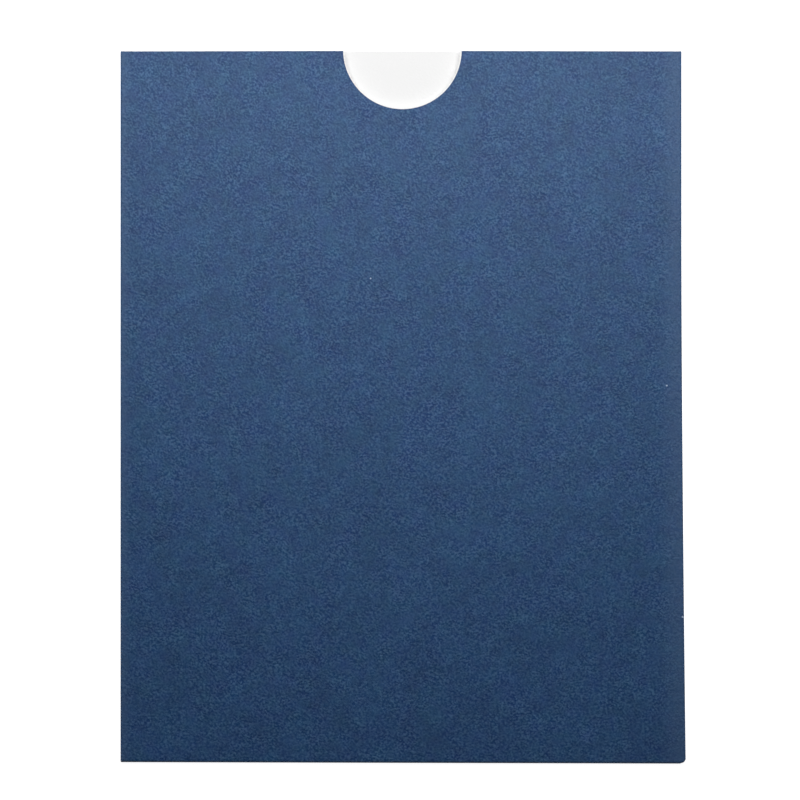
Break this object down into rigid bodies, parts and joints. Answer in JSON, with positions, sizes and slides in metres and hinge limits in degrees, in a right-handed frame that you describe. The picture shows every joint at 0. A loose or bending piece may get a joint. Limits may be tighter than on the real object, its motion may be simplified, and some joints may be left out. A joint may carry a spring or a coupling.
{
  "type": "receipt pocket",
  "caption": "Flat open-topped card pocket for a receipt or ticket, dark blue outside and white inside, with a half-round thumb cut in the front panel.",
  "frame": {"origin": "centre of the pocket's bounding box in X and Y, at the back panel's outer face, as it lies on its back", "axes": "+Z out of the front panel, +Y towards the open mouth and its thumb cut, +X to the right as the front is read"},
  "size_m": [0.1214, 0.153, 0.002],
  "materials": {
    "navy_card": "uncoated card, dark blue outside and white inside, with a fine felt texture"
  },
  "bodies": {
    "root": {"pocket": "navy_card"}
  },
  "joints": []
}
